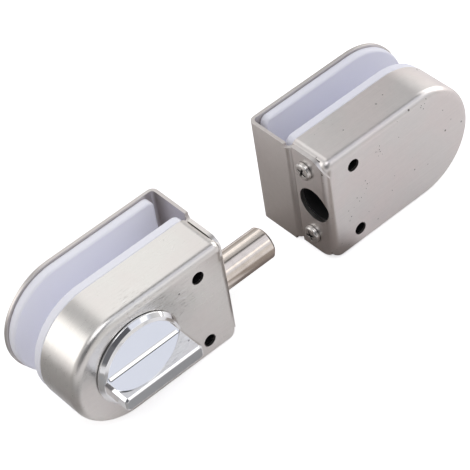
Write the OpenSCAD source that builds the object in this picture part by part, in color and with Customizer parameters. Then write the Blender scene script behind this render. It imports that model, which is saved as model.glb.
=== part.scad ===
// Glass door lock: a lock body with a thumb-turn and a round bolt, and its keeper.
// Each body is a folded cover on a sheet-metal clamp that grips a frameless glass door.
// The origin is on the bolt's axis where it leaves the lock's end wall. +X is the way the
// bolt is thrown, the thumb-turn faces -Y, and both bodies stand on their long lower sides.

/* [Covers] */
// Length of each body, from its end wall to its round end
body_len = 76.5; // [76:0.5:90]
// Height of each body
body_h = 52; // [51:0.5:60]
// Depth of the cover, from its front face to its rear edge
cover_depth = 20.2; // [20.2:0.2:26]
// Thickness of the cover's sheet
cover_wall = 1.2; // [1:0.1:1.4]
// Radius of the soft edge around the front face
edge_r = 3.5; // [2.5:0.1:3.6]
// Corner radius of the cover's square end, seen from the front
corner_r = 4; // [3.8:0.1:6]
// How far the folded end wall stands proud of the drawn corners
flap_proud = 0.6; // [0.3:0.1:0.9]
// How far the end wall stops short of the long sides
flap_inset = 0.5; // [0.4:0.1:1.5]
// Radius of the end wall's two front corners
flap_corner_r = 8.5; // [6:0.5:9]
// Outer radius of the fold between the front face and the end wall
fold_r = 3.3; // [2.5:0.1:3.6]
// Width of the slit between the end wall and the long sides
seam_w = 0.3; // [0.2:0.05:0.5]
// Distance between the end walls of the lock and the keeper
stand_apart = 51; // [50.5:0.5:120]

/* [Glass clamp] */
// Thickness of the clamp's sheet
sheet_t = 1.5; // [1.2:0.1:2]
// Outer radius of the clamp's bends
bend_r = 3; // [2.5:0.1:3.5]
// How far the clamp's bridge stands out past the end wall
bridge_out = 1.2; // [0.8:0.1:2]
// Free gap between the pads, which takes the glass
glass_gap = 12.6; // [10.2:0.1:13]
// Thickness of the front pad
front_pad_t = 3.9; // [3:0.1:4.5]
// Thickness of the back pad
back_pad_t = 4; // [3:0.1:5]
// How far the front pad's edge lies inside the cover's outline
front_pad_inset = 0.3; // [0.2:0.1:1]
// How far the back pad's edge lies inside the back plate's outline
back_pad_inset = 0.8; // [0.4:0.1:1.5]
// How far the back pad stops short of the bend
back_pad_short = 1.4; // [0.5:0.1:3]
// Thickness of the pressure plate in the front pad
pressure_t = 1.2; // [1:0.1:1.5]
// Width of the front pad's rim around the pressure plate
pad_rim = 3.5; // [2.5:0.5:5]

/* [Screws] */
// Distance of the set screws from the end wall
set_screw_x = 14.2; // [13:0.1:18]
// Distance between the two set screws, and between the two end screws
screw_pitch = 34.6; // [33:0.2:36]
// Diameter of the set screws
set_screw_d = 6; // [5:0.5:6]
// Diameter of the front face's holes over the set screws
key_hole_d = 5.6; // [4:0.1:6]
// Depth of the set screws' ends below the front face
set_screw_sunk = 5; // [3:0.5:7]
// Width across the flats of the set screws' sockets
set_key = 3; // [2.5:0.5:3]
// Diameter of the end screws' shanks
end_screw_d = 4; // [3:0.5:4]
// Diameter of the end screws' pan heads
end_head_d = 8; // [7:0.5:8]
// Height of the end screws' pan heads
end_head_h = 2; // [1.6:0.1:2.6]
// Distance of the end screws behind the bolt's axis
end_screw_y = 2.6; // [1:0.1:4]
// Diameter of the countersunk screws inside
small_screw_d = 3; // [2.5:0.5:3]
// Grip of the countersunk screws in the blocks and the cradle
small_screw_grip = 8; // [6:1:8]

/* [Bolt] */
// Diameter of the bolt
bolt_d = 14; // [12:0.5:14]
// Length of bolt that stands out of the end wall when thrown
bolt_reach = 25; // [25:0.5:30]
// Travel of the bolt
bolt_throw = 25; // [20:0.5:25]
// Depth of the bolt's axis below the front face
bolt_inset = 9.4; // [9.4:0.1:10]
// Chamfer at the bolt's nose
bolt_chamfer = 1; // [0.5:0.1:2]
// Width and depth of the groove around the bolt, in the end wall when the bolt is thrown
groove_w = 0.8; // [0.6:0.1:1.4]
groove_depth = 0.4; // [0.2:0.1:0.6]
// Space around the bolt in the lock's end wall
end_hole_play = 0.4; // [0.3:0.1:0.8]
// Space around the bolt in the keeper's bore
keeper_play = 0.6; // [0.3:0.1:0.6]
// How much wider than its bore the hole in the keeper's end wall is, all round
keeper_lead = 0.3; // [0.1:0.1:0.6]
// Length of the blocks that carry the screws and bores
block_len = 23; // [21:0.5:23]

/* [Thumb-turn] */
// Distance of the thumb-turn's axis from the end wall
turn_x = 46; // [45.5:0.1:46.5]
// Diameter of the thumb-turn's disc
turn_d = 40; // [39:0.5:42]
// Height of the disc
turn_h = 2.8; // [2.5:0.1:4]
// How far the disc's side leans in
turn_lean = 1.3; // [0.8:0.1:1.6]
// Width of the bevel around the disc's face
turn_rim = 1.2; // [0.8:0.1:1.5]
// Length of the blade
blade_len = 37; // [34:0.5:38]
// Height of the blade above the disc
blade_h = 12.2; // [11:0.2:16]
// Thickness of the blade
blade_t = 6.6; // [5:0.2:9]
// Bevel along the blade's front edges
blade_bevel = 0.8; // [0.4:0.1:1]
// Bevel at the blade's corners
blade_corner = 1.2; // [0.6:0.1:1.6]
// Diameter of the spindle in its bush
spindle_d = 8; // [7:0.5:8]
// Diameter of the spindle's end in the thumb-turn
stem_d = 6; // [5:0.5:6]
// Angle through which the thumb-turn moves
turn_angle = 90; // [90:1:100]

/* [Inner mechanism] */
// Thickness of the crank
crank_t = 2.2; // [1.8:0.1:2.4]
// Radius of the crank around the spindle
crank_hub_r = 8; // [7:0.5:8]
// Radius of the crank around its roller
crank_tip_r = 4.5; // [4:0.1:5]
// Diameter of the roller that drives the bolt
roller_d = 6; // [5:0.5:6]
// Diameter of the roller's pin
roller_pin_d = 3.6; // [3:0.1:4]
// Thickness of the fork that the roller drives
fork_t = 3; // [2.5:0.1:3.2]
// Play of the roller in the fork, on each side
fork_play = 0.7; // [0.6:0.05:0.9]
// Thickness of the fork's two prongs
prong_w = 2.6; // [2:0.1:3]
// Diameter of the two pins that stop the crank
stop_d = 3; // [2.5:0.5:3]
// Distance of the stop pins from the spindle's axis
stop_at = 13; // [12.5:0.1:13]

/* [Clearances] */
// Between the bolt, the spindle or a set screw and its bore, on the radius
running = 0.06; // [0.04:0.01:0.08]
// Between parts that are bolted or stacked together
seat = 0.1; // [0.05:0.05:0.15]
// Between parts that move past each other
pass = 0.4; // [0.3:0.05:0.5]
// Around a screw that passes through a sheet
screw_play = 0.2; // [0.1:0.05:0.3]

/* [Hidden] */
$fn = 64;
// How far a cutter runs past the face that it opens
over = 1;

front_y = -bolt_inset;
rear_y = front_y + cover_depth;
inner_front_y = front_y + cover_wall;
half_h = body_h / 2;
inner_half = half_h - cover_wall;
round_x = half_h - body_len;
end_wall = cover_wall + flap_proud;
flap_half = half_h - flap_inset;
slit_front_y = front_y + edge_r + 1;
screw_z = screw_pitch / 2;

// The clamp's sheet, from its leg in the cover to its plate behind the glass
leg_proud = 0.2;
leg_rear_y = rear_y + leg_proud;
leg_front_y = leg_rear_y - sheet_t;
leg_half = inner_half - pass;
flap_rear_y = leg_front_y - leg_proud;
pad_y = leg_rear_y + seat;
slot_front_y = pad_y + front_pad_t;
slot_rear_y = slot_front_y + glass_gap;
plate_y = slot_rear_y + back_pad_t;
back_y = plate_y + sheet_t;
bend_x = bridge_out - bend_r;

block_x = -end_wall - seat;
block_end_x = block_x - block_len;
block_screw_in = 4.4;
block_screw_x = block_end_x + block_screw_in;
block_screw_z = bolt_d / 2 + 3.5;
small_head_r = 0.93 * small_screw_d;
small_key = 2;
small_socket = 1.2;
set_screw_r = set_screw_d / 2;
set_screw_y = front_y + set_screw_sunk;
set_socket = 3;
set_chamfer = 0.5;
end_screw_tip = set_screw_x - set_screw_r - 1.4;
cross_w = 1;
cross_len = 4.6;
cross_depth = 1.3;
cross_turns = [20, 110];

// The thumb-turn stands clear of the front face, with its bush and the stop pins' heads
// in a recess in its rear
turn_y = front_y - 0.3;
turn_front_y = turn_y - turn_h;
blade_front_y = turn_front_y - blade_h;
turn_land = 0.6;
turn_rim_h = 0.6;
recess_y = turn_y - 1.1;
stop_head_r = stop_d / 2 + 0.7;
stop_head_h = 0.5;
recess_r = stop_at + stop_head_r + 0.8;
stem_len = 9;
square_w = 0.7 * spindle_d;
bush_r = spindle_d / 2 + 1.5;
bush_flange_r = bush_r + 1.5;
bush_flange_t = 0.8;
bush_end_y = inner_front_y + 0.4;
washer_h = 0.6;
washer_t = 0.3;
washer_r = 7.2;

// The roller's pin swings evenly to both sides of the upright through the spindle
crank_r = bolt_throw / (2 * sin(turn_angle / 2));
crank_rest = 90 - turn_angle / 2;
crank_x = crank_r * cos(crank_rest);
crank_z = crank_r * sin(crank_rest);
crank_y = bush_end_y + washer_h + 2 * seat;
crank_end_y = crank_y + crank_t;
// The crank's sides meet its round ends a little inside their common tangents
crank_web_hub = 0.93 * crank_hub_r;
crank_web_tip = 0.93 * crank_tip_r;
crank_taper = atan((crank_web_hub - crank_web_tip) / crank_r);
crank_side = 90 - crank_taper;
stop_side = acos((crank_web_hub * cos(crank_taper) + stop_d / 2 + seat) / stop_at);
stop_angle = crank_rest - crank_side + stop_side;
stop_x = stop_at * cos(stop_angle);
stop_z = stop_at * sin(stop_angle);

// The bolt is cut away under the crank, and lower still under its fork
bolt_r = bolt_d / 2;
roller_x = crank_x - turn_x;
flat_y = crank_end_y + pass;
flat_x = bolt_throw - turn_x + stop_x + stop_d / 2 + 2 * pass;
fork_y = crank_end_y + 1;
seat_y = fork_y + fork_t;
slot_r = roller_d / 2 + fork_play;
fork_half = slot_r + prong_w;
fork_base_z = 0.8 * bolt_r;
fork_top_z = crank_r + roller_d / 4;
fork_corner_r = 2;
fork_screw_at = 3.6;
fork_screw_len = 8;
bolt_rear_x = roller_x - fork_half;
shoulder_x = roller_x + fork_half + seat;
roller_y = crank_end_y + 0.2;
roller_end_y = seat_y - 0.2;
pin_head_y = roller_end_y + running;
pin_head_r = roller_pin_d / 2 + 0.9;
pin_head_h = 0.6;

cradle_x0 = bolt_rear_x - bolt_throw - 1.5;
cradle_x1 = block_end_x - 1;
cradle_r = bolt_r + seat;
cradle_wall = 4.3;
cradle_half = cradle_r + cradle_wall;
cradle_y = seat_y + 1.6;
cradle_screw_z = (cradle_r + cradle_half) / 2;
cradle_screw_in = 6;
cradle_screw_xs = [cradle_x0 + cradle_screw_in, cradle_x1 - cradle_screw_in];

steel = [0.76, 0.75, 0.73];
dark_steel = [0.6, 0.6, 0.6];
chrome = [0.84, 0.87, 0.92];
black = [0.1, 0.1, 0.1];
brass = [0.78, 0.65, 0.35];
white = [0.95, 0.95, 0.97];

// Placing and drawing

// Extrudes a shape drawn in X and Z along Y, from y0 to y1
module along_y(y0, y1) {
    translate([0, y1, 0])
        rotate([90, 0, 0])
            linear_extrude(y1 - y0)
                children();
}

// Extrudes a shape drawn in Y and Z along X, from x0 to x1
module along_x(x0, x1) {
    translate([x0, 0, 0])
        rotate([90, 0, 90])
            linear_extrude(x1 - x0)
                children();
}

// Turns a profile of radius and Y about the line along Y through x and z
module turned_y(x = 0, z = 0) {
    translate([x, 0, z])
        rotate([-90, 0, 0])
            rotate_extrude()
                children();
}

// A round bar along Y
module bar_y(x, z, r, y0, y1) {
    along_y(y0, y1)
        translate([x, z])
            circle(r);
}

// A round bar along X
module bar_x(y, z, r, x0, x1) {
    along_x(x0, x1)
        translate([y, z])
            circle(r);
}

// The keeper is the lock's clamp turned to face it
module at_keeper() {
    translate([stand_apart, 0, 0])
        mirror([1, 0, 0])
            children();
}

// One copy on each side of the level plane through the bolt's axis
module both_sides() {
    for (side = [0, 1])
        mirror([0, 0, side])
            children();
}

// What rounding takes off a corner at the origin whose sides run towards -X and +Y
module corner_waste(r) {
    difference() {
        translate([-r, -over])
            square(r + over);
        translate([-r, r])
            circle(r);
    }
}

// Outline of a body seen from the front: a round end and a square one
module d_outline(x_end, half) {
    translate([round_x, 0])
        circle(half);
    translate([round_x, -half])
        square([x_end - round_x, 2 * half]);
}

// The same outline with its square end's corners rounded
module round_outline(x_end, half, corner) {
    difference() {
        d_outline(x_end, half);
        for (side = [0, 1])
            mirror([0, side])
                translate([x_end, -half])
                    corner_waste(corner);
    }
}

// Outline of a pad or plate that lies inside the body's outline
module pad_outline(x_end, inset) {
    round_outline(x_end, half_h - inset, max(corner_r - inset, 1));
}

// Half of a section, from its middle to its side, with a soft front corner
module soft_half(half, y0, y1, r) {
    difference() {
        translate([0, y0])
            square([half, y1 - y0]);
        translate([half, y0])
            corner_waste(r);
    }
}

// A solid with the outline of a body and a soft edge around its front face
module soft_body(x_end, half, y0, y1, corner, r) {
    corner_x = x_end - corner;
    // Core, which joins the pieces of the edge
    along_y(y0, y1)
        round_outline(x_end - r, half - r, corner - r);
    // Round end
    translate([round_x, 0, 0])
        rotate([-90, 0, 0])
            rotate([0, 0, 90])
                rotate_extrude(angle = 180)
                    soft_half(half, y0, y1, r);
    // Long sides
    along_x(round_x, corner_x)
        for (side = [0, 1])
            mirror([0, side])
                mirror([1, -1])
                    soft_half(half, y0, y1, r);
    // Square end
    translate([corner_x, 0, 0])
        linear_extrude(2 * (half - corner), center = true)
            soft_half(corner, y0, y1, r);
    both_sides()
        translate([corner_x, 0, half - corner])
            rotate([-90, 0, 0])
                rotate([0, 0, -90])
                    rotate_extrude(angle = 90)
                        soft_half(corner, y0, y1, r);
}

// Countersunk screws

// Profile of a countersunk screw: radius, and depth below its flush head
module countersunk(len, play) {
    r = small_screw_d / 2 + play;
    head_r = small_head_r + play;
    polygon([[0, 0], [head_r, 0], [r, head_r - r], [r, len], [0, len]]);
}

// A countersunk screw with a hexagon socket, driven along +Y from y
module small_screw(x, y, z, len) {
    difference() {
        translate([0, y, 0])
            turned_y(x, z)
                countersunk(len, 0);
        along_y(y - over, y + small_socket)
            translate([x, z])
                circle(d = small_key / cos(30), $fn = 6);
    }
}

// The hole that takes it, with play around the screw
module small_hole(x, y, z, len, play) {
    translate([0, y, 0])
        turned_y(x, z)
            countersunk(len, play);
}

// The same screw driven along -Y from the rear face of the clamp's leg
module leg_screw(x, z) {
    translate([0, leg_rear_y, 0])
        mirror([0, 1, 0])
            small_screw(x, 0, z, sheet_t + small_screw_grip);
}

// The hole that takes it
module leg_hole(x, z, play) {
    translate([0, leg_rear_y, 0])
        mirror([0, 1, 0])
            small_hole(x, 0, z, sheet_t + small_screw_grip + play, play);
}

// Cover

// The end wall's outline, with its two front corners rounded
module flap_outline() {
    for (side = [0, 1])
        mirror([0, side])
            mirror([1, -1])
                soft_half(flap_half, front_y, flap_rear_y, flap_corner_r);
}

// The end wall, folded off the front face
module flap() {
    fold_x = -flap_proud - edge_r;
    intersection() {
        linear_extrude(body_h, center = true)
            difference() {
                translate([fold_x, front_y])
                    square([-fold_x, flap_rear_y - front_y]);
                translate([0, front_y])
                    corner_waste(fold_r);
                translate([fold_x - over, inner_front_y])
                    square([over - fold_x - end_wall, cover_depth]);
            }
        along_x(fold_x - over, over)
            flap_outline();
    }
}

module cover(end_hole_r) {
    slit_x = -end_wall - seam_w;
    difference() {
        union() {
            soft_body(-flap_proud, half_h, front_y, rear_y, corner_r, edge_r);
            flap();
        }
        soft_body(-end_wall, inner_half, inner_front_y, rear_y + over,
            corner_r - cover_wall, edge_r - cover_wall);
        // The long sides end behind the end wall
        translate([slit_x, slit_front_y, -half_h - over])
            cube([seam_w, cover_depth, body_h + 2 * over]);
        // The clamp's bend comes out behind the end wall
        translate([slit_x, flap_rear_y, -half_h - over])
            cube([over - slit_x, cover_depth, body_h + 2 * over]);
        bar_x(0, 0, end_hole_r, -end_wall - over, over);
        both_sides() {
            bar_x(end_screw_y, screw_z, end_screw_d / 2 + screw_play, -end_wall - over, over);
            bar_y(-set_screw_x, screw_z, key_hole_d / 2, front_y - over, inner_front_y + over);
        }
    }
}

// Clamp

// The clamp's bent sheet seen along Z: a section with two round corners, less one within it
module bent_section(x0, x1, y0, y1, r) {
    difference() {
        translate([x0, y0])
            square([x1 - x0, y1 - y0]);
        translate([x1, y0])
            corner_waste(r);
        translate([x1, y1])
            mirror([0, 1])
                corner_waste(r);
    }
}

module bracket(cradle_holes) {
    bend_end_y = leg_front_y + bend_r;
    color(steel)
        difference() {
            intersection() {
                linear_extrude(body_h, center = true)
                    difference() {
                        bent_section(-body_len, bridge_out, leg_front_y, back_y, bend_r);
                        bent_section(-body_len - over, bridge_out - sheet_t, leg_rear_y, plate_y,
                            bend_r - sheet_t);
                    }
                union() {
                    along_y(leg_front_y - over, bend_end_y)
                        d_outline(bridge_out + over, leg_half);
                    along_y(bend_end_y, back_y + over)
                        d_outline(bridge_out + over, half_h);
                }
            }
            both_sides() {
                bar_y(-set_screw_x, screw_z, set_screw_r + screw_play,
                    leg_front_y - over, leg_rear_y + over);
                leg_hole(block_screw_x, block_screw_z, screw_play);
                if (cradle_holes)
                    for (x = cradle_screw_xs)
                        leg_hole(x, cradle_screw_z, screw_play);
            }
        }
}

module back_pad() {
    color(white)
        along_y(slot_rear_y, plate_y)
            pad_outline(bend_x - back_pad_short, back_pad_inset);
}

// The front pad, with a tray for the pressure plate in its front face
module front_pad() {
    color(white)
        difference() {
            along_y(pad_y, slot_front_y)
                pad_outline(bend_x, front_pad_inset);
            along_y(pad_y - over, pad_y + pressure_t)
                pad_outline(bend_x - pad_rim, front_pad_inset + pad_rim);
        }
}

module pressure_plate() {
    inset = pad_rim + seat;
    color(dark_steel)
        along_y(pad_y, pad_y + pressure_t)
            pad_outline(bend_x - inset, front_pad_inset + inset);
}

// Blocks and their screws

module block(bore_r) {
    skin = cover_wall + seat;
    color(black)
        difference() {
            intersection() {
                soft_body(block_x, half_h - skin, front_y + skin, leg_front_y,
                    corner_r - skin, edge_r - skin);
                translate([block_end_x, front_y, -half_h])
                    cube([block_len + over, cover_depth, body_h]);
            }
            bar_x(0, 0, bore_r, block_end_x - over, block_x + over);
            both_sides() {
                bar_y(-set_screw_x, screw_z, set_screw_r + running, front_y, leg_front_y + over);
                bar_x(end_screw_y, screw_z, end_screw_d / 2 + running,
                    -end_screw_tip - seat, block_x + over);
                leg_hole(block_screw_x, block_screw_z, running);
            }
        }
}

// Pan-head screws with a cross recess, driven through the end wall
module end_screws() {
    color(dark_steel)
        both_sides()
            translate([0, end_screw_y, screw_z])
                difference() {
                    union() {
                        rotate([0, -90, 0])
                            rotate_extrude()
                                soft_half(end_head_d / 2, -end_head_h, 0, 0.6 * end_head_h);
                        bar_x(0, 0, end_screw_d / 2, -end_screw_tip, 0);
                    }
                    for (turn = cross_turns)
                        rotate([turn, 0, 0])
                            translate([end_head_h - cross_depth, -cross_len / 2, -cross_w / 2])
                                cube([cross_depth + over, cross_len, cross_w]);
                }
}

// Set screws with a hexagon socket, which push the pressure plate towards the glass
module set_screws() {
    tip_r = set_screw_r - set_chamfer;
    color(black)
        both_sides()
            difference() {
                turned_y(-set_screw_x, screw_z)
                    polygon([
                        [0, set_screw_y],
                        [tip_r, set_screw_y],
                        [set_screw_r, set_screw_y + set_chamfer],
                        [set_screw_r, pad_y - set_chamfer],
                        [tip_r, pad_y],
                        [0, pad_y]
                    ]);
                along_y(set_screw_y - over, set_screw_y + set_socket)
                    translate([-set_screw_x, screw_z])
                        circle(d = set_key / cos(30), $fn = 6);
            }
}

module block_screws() {
    color(dark_steel)
        both_sides()
            leg_screw(block_screw_x, block_screw_z);
}

// Lock

module lock_cover() {
    color(steel)
        difference() {
            cover(bolt_r + end_hole_play);
            bar_y(-turn_x, 0, bush_r + seat, front_y - over, inner_front_y + over);
            for (side = [-1, 1])
                bar_y(side * stop_x - turn_x, stop_z, stop_d / 2 + running,
                    front_y - over, inner_front_y + over);
        }
}

module lock_bracket() {
    bracket(true);
}

module lock_back_pad() {
    back_pad();
}

module lock_front_pad() {
    front_pad();
}

module lock_pressure_plate() {
    pressure_plate();
}

module lock_block() {
    block(bolt_r + running);
}

module lock_end_screws() {
    end_screws();
}

module lock_set_screws() {
    set_screws();
}

module lock_block_screws() {
    block_screws();
}

// The channel that carries the bolt's tail
module bolt_cradle() {
    color(brass)
        difference() {
            along_x(cradle_x0, cradle_x1)
                translate([cradle_y, -cradle_half])
                    square([leg_front_y - cradle_y, 2 * cradle_half]);
            bar_x(0, 0, cradle_r, cradle_x0 - over, cradle_x1 + over);
            both_sides()
                for (x = cradle_screw_xs)
                    leg_hole(x, cradle_screw_z, running);
        }
}

module cradle_screws() {
    color(dark_steel)
        both_sides()
            for (x = cradle_screw_xs)
                leg_screw(x, cradle_screw_z);
}

// The spindle's bearing, pressed into the front face
module turn_bush() {
    bore_r = spindle_d / 2 + running;
    color(brass)
        turned_y(-turn_x, 0)
            polygon([
                [bore_r, front_y - bush_flange_t],
                [bush_flange_r, front_y - bush_flange_t],
                [bush_flange_r, front_y],
                [bush_r, front_y],
                [bush_r, bush_end_y],
                [bore_r, bush_end_y]
            ]);
}

// Riveted pins that stop the crank at both ends of its swing
module stop_pins() {
    color(dark_steel)
        for (side = [-1, 1]) {
            bar_y(side * stop_x - turn_x, stop_z, stop_d / 2, front_y, crank_end_y);
            bar_y(side * stop_x - turn_x, stop_z, stop_head_r, front_y - stop_head_h, front_y);
        }
}

// Thumb-turn and crank

// The disc with its leaning side and bevelled face, and the blade across it
module thumb_turn() {
    r = turn_d / 2;
    half = blade_t / 2;
    end = blade_len / 2;
    color(chrome)
        difference() {
            union() {
                turned_y(-turn_x, 0)
                    polygon([
                        [0, turn_front_y],
                        [r - turn_lean - turn_rim, turn_front_y],
                        [r - turn_lean, turn_front_y + turn_rim_h],
                        [r, turn_y - turn_land],
                        [r, turn_y],
                        [0, turn_y]
                    ]);
                intersection() {
                    // Bevelled along its front edges
                    along_x(-turn_x - r, r - turn_x)
                        polygon([
                            [turn_front_y + turn_rim_h, -half],
                            [turn_front_y + turn_rim_h, half],
                            [blade_front_y + blade_bevel, half],
                            [blade_front_y, half - blade_bevel],
                            [blade_front_y, blade_bevel - half],
                            [blade_front_y + blade_bevel, -half]
                        ]);
                    // Bevelled at its four corners
                    along_y(blade_front_y - over, turn_y)
                        translate([-turn_x, 0])
                            polygon([
                                [-end, blade_corner - half],
                                [blade_corner - end, -half],
                                [end - blade_corner, -half],
                                [end, blade_corner - half],
                                [end, half - blade_corner],
                                [end - blade_corner, half],
                                [blade_corner - end, half],
                                [-end, half - blade_corner]
                            ]);
                    // Bevelled at the front of both ends
                    translate([-turn_x, 0, 0])
                        linear_extrude(blade_t + over, center = true)
                            polygon([
                                [-end, turn_y],
                                [-end, blade_front_y + blade_bevel],
                                [blade_bevel - end, blade_front_y],
                                [end - blade_bevel, blade_front_y],
                                [end, blade_front_y + blade_bevel],
                                [end, turn_y]
                            ]);
                }
            }
            bar_y(-turn_x, 0, recess_r, recess_y, turn_y + over);
            bar_y(-turn_x, 0, stem_d / 2 + running, recess_y - stem_len - seat, recess_y + over);
        }
}

// A stem in the thumb-turn, a journal in the bush and a square in the crank
module turn_spindle() {
    color(dark_steel) {
        bar_y(-turn_x, 0, stem_d / 2, recess_y - stem_len, recess_y);
        bar_y(-turn_x, 0, spindle_d / 2, recess_y, crank_y);
        along_y(crank_y, crank_end_y)
            translate([-turn_x, 0])
                square(square_w, center = true);
    }
}

// A coned washer that takes up the spindle's end play
module spring_washer() {
    inner_r = spindle_d / 2 + screw_play;
    y = bush_end_y + seat;
    color(steel)
        turned_y(-turn_x, 0)
            polygon([
                [inner_r, y],
                [washer_r, y + washer_h - washer_t],
                [washer_r, y + washer_h],
                [inner_r, y + washer_t]
            ]);
}

// A plate with a round hub and a round tip
module crank() {
    hub = [-turn_x, 0];
    tip = [roller_x, crank_z];
    across = [-sin(crank_rest), cos(crank_rest)];
    color(steel)
        along_y(crank_y, crank_end_y)
            difference() {
                union() {
                    translate(hub)
                        circle(crank_hub_r);
                    translate(tip)
                        circle(crank_tip_r);
                    polygon([
                        hub - crank_web_hub * across,
                        tip - crank_web_tip * across,
                        tip + crank_web_tip * across,
                        hub + crank_web_hub * across
                    ]);
                }
                translate(hub)
                    square(square_w + 2 * running, center = true);
                translate(tip)
                    circle(roller_pin_d / 2 + running);
            }
}

// The pin riveted in the crank's tip, with a head that keeps the roller on
module crank_pin() {
    color(dark_steel) {
        bar_y(roller_x, crank_z, roller_pin_d / 2, crank_y, pin_head_y);
        bar_y(roller_x, crank_z, pin_head_r, pin_head_y, pin_head_y + pin_head_h);
    }
}

module crank_roller() {
    color(brass)
        along_y(roller_y, roller_end_y)
            translate([roller_x, crank_z])
                difference() {
                    circle(roller_d / 2);
                    circle(roller_pin_d / 2 + running);
                }
}

// Bolt

module bolt() {
    color(steel)
        difference() {
            union() {
                bar_x(0, 0, bolt_r, bolt_rear_x, bolt_reach - bolt_chamfer);
                translate([bolt_reach - bolt_chamfer, 0, 0])
                    rotate([0, 90, 0])
                        cylinder(r1 = bolt_r, r2 = bolt_r - bolt_chamfer, h = bolt_chamfer);
            }
            // The grease groove behind the nose
            along_x(-groove_w, 0)
                difference() {
                    circle(bolt_r + over);
                    circle(bolt_r - groove_depth);
                }
            // Under the crank
            translate([bolt_rear_x - over, -bolt_r - over, -bolt_r - over])
                cube([flat_x - bolt_rear_x + over, flat_y + bolt_r + over, bolt_d + 2 * over]);
            // Under the fork
            translate([bolt_rear_x - over, -bolt_r - over, -bolt_r - over])
                cube([shoulder_x - bolt_rear_x + over, seat_y + bolt_r + over, bolt_d + 2 * over]);
            for (side = [-1, 1])
                small_hole(roller_x + side * fork_screw_at, fork_y, 0, fork_screw_len + seat,
                    running);
        }
}

// An upright fork on the bolt's tail, open at the top, that the roller pushes
module bolt_fork() {
    shoulder_z = fork_top_z - fork_corner_r;
    color(steel)
        difference() {
            along_y(fork_y, seat_y)
                translate([roller_x, 0])
                    difference() {
                        union() {
                            translate([-fork_half, -fork_base_z])
                                square([2 * fork_half, shoulder_z + fork_base_z]);
                            translate([fork_corner_r - fork_half, shoulder_z])
                                square([2 * (fork_half - fork_corner_r), fork_corner_r]);
                            for (side = [-1, 1])
                                translate([side * (fork_half - fork_corner_r), shoulder_z])
                                    circle(fork_corner_r);
                        }
                        translate([0, crank_z])
                            circle(slot_r);
                        translate([-slot_r, crank_z])
                            square([2 * slot_r, fork_top_z - crank_z + over]);
                    }
            for (side = [-1, 1])
                small_hole(roller_x + side * fork_screw_at, fork_y, 0, fork_screw_len, running);
        }
}

module fork_screws() {
    color(dark_steel)
        for (side = [-1, 1])
            small_screw(roller_x + side * fork_screw_at, fork_y, 0, fork_screw_len);
}

// Keeper

module keeper_cover() {
    color(steel)
        at_keeper()
            cover(bolt_r + keeper_play + keeper_lead);
}

module keeper_bracket() {
    at_keeper()
        bracket(false);
}

module keeper_back_pad() {
    at_keeper()
        back_pad();
}

module keeper_front_pad() {
    at_keeper()
        front_pad();
}

module keeper_pressure_plate() {
    at_keeper()
        pressure_plate();
}

module keeper_block() {
    at_keeper()
        block(bolt_r + keeper_play);
}

module keeper_end_screws() {
    at_keeper()
        end_screws();
}

module keeper_set_screws() {
    at_keeper()
        set_screws();
}

module keeper_block_screws() {
    at_keeper()
        block_screws();
}

lock_cover();
lock_bracket();
lock_back_pad();
lock_front_pad();
lock_pressure_plate();
lock_block();
lock_end_screws();
lock_set_screws();
lock_block_screws();
bolt_cradle();
cradle_screws();
turn_bush();
stop_pins();
thumb_turn();
turn_spindle();
spring_washer();
crank();
crank_pin();
crank_roller();
bolt();
bolt_fork();
fork_screws();
keeper_cover();
keeper_bracket();
keeper_back_pad();
keeper_front_pad();
keeper_pressure_plate();
keeper_block();
keeper_end_screws();
keeper_set_screws();
keeper_block_screws();
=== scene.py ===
import logging
import math
from dataclasses import dataclass, field
from enum import Enum
from typing import Any, Iterable, Optional, Union

import bmesh
import bpy
from mathutils import Matrix, Vector


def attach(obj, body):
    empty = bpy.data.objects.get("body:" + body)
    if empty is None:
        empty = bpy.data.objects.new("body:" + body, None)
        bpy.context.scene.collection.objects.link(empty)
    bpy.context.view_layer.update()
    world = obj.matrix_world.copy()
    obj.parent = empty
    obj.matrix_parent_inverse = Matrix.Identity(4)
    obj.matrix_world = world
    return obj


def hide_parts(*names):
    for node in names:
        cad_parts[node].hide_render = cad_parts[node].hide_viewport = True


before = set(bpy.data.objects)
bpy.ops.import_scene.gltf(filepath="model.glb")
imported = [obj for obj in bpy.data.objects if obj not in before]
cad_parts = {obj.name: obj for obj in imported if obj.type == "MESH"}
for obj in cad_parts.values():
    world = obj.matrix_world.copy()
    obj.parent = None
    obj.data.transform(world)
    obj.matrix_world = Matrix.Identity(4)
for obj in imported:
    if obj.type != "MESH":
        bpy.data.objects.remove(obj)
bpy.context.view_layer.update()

MM = 0.001
NOISE_MIDDLE = 0.5
STAND_APART = 51.0
LOG = logging.getLogger("glass_door_lock")
Colour = tuple[float, float, float]
Place = tuple[float, float, float]
Span = tuple[float, float]
Operand = Union["Value", float]
WHITE: Colour = (1.0, 1.0, 1.0)


def scaled(colour: Colour, share: float) -> Colour:
    """Multiply a colour's channels by a share and keep them at or below 1."""
    return tuple(min(1.0, channel * share) for channel in colour)


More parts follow.
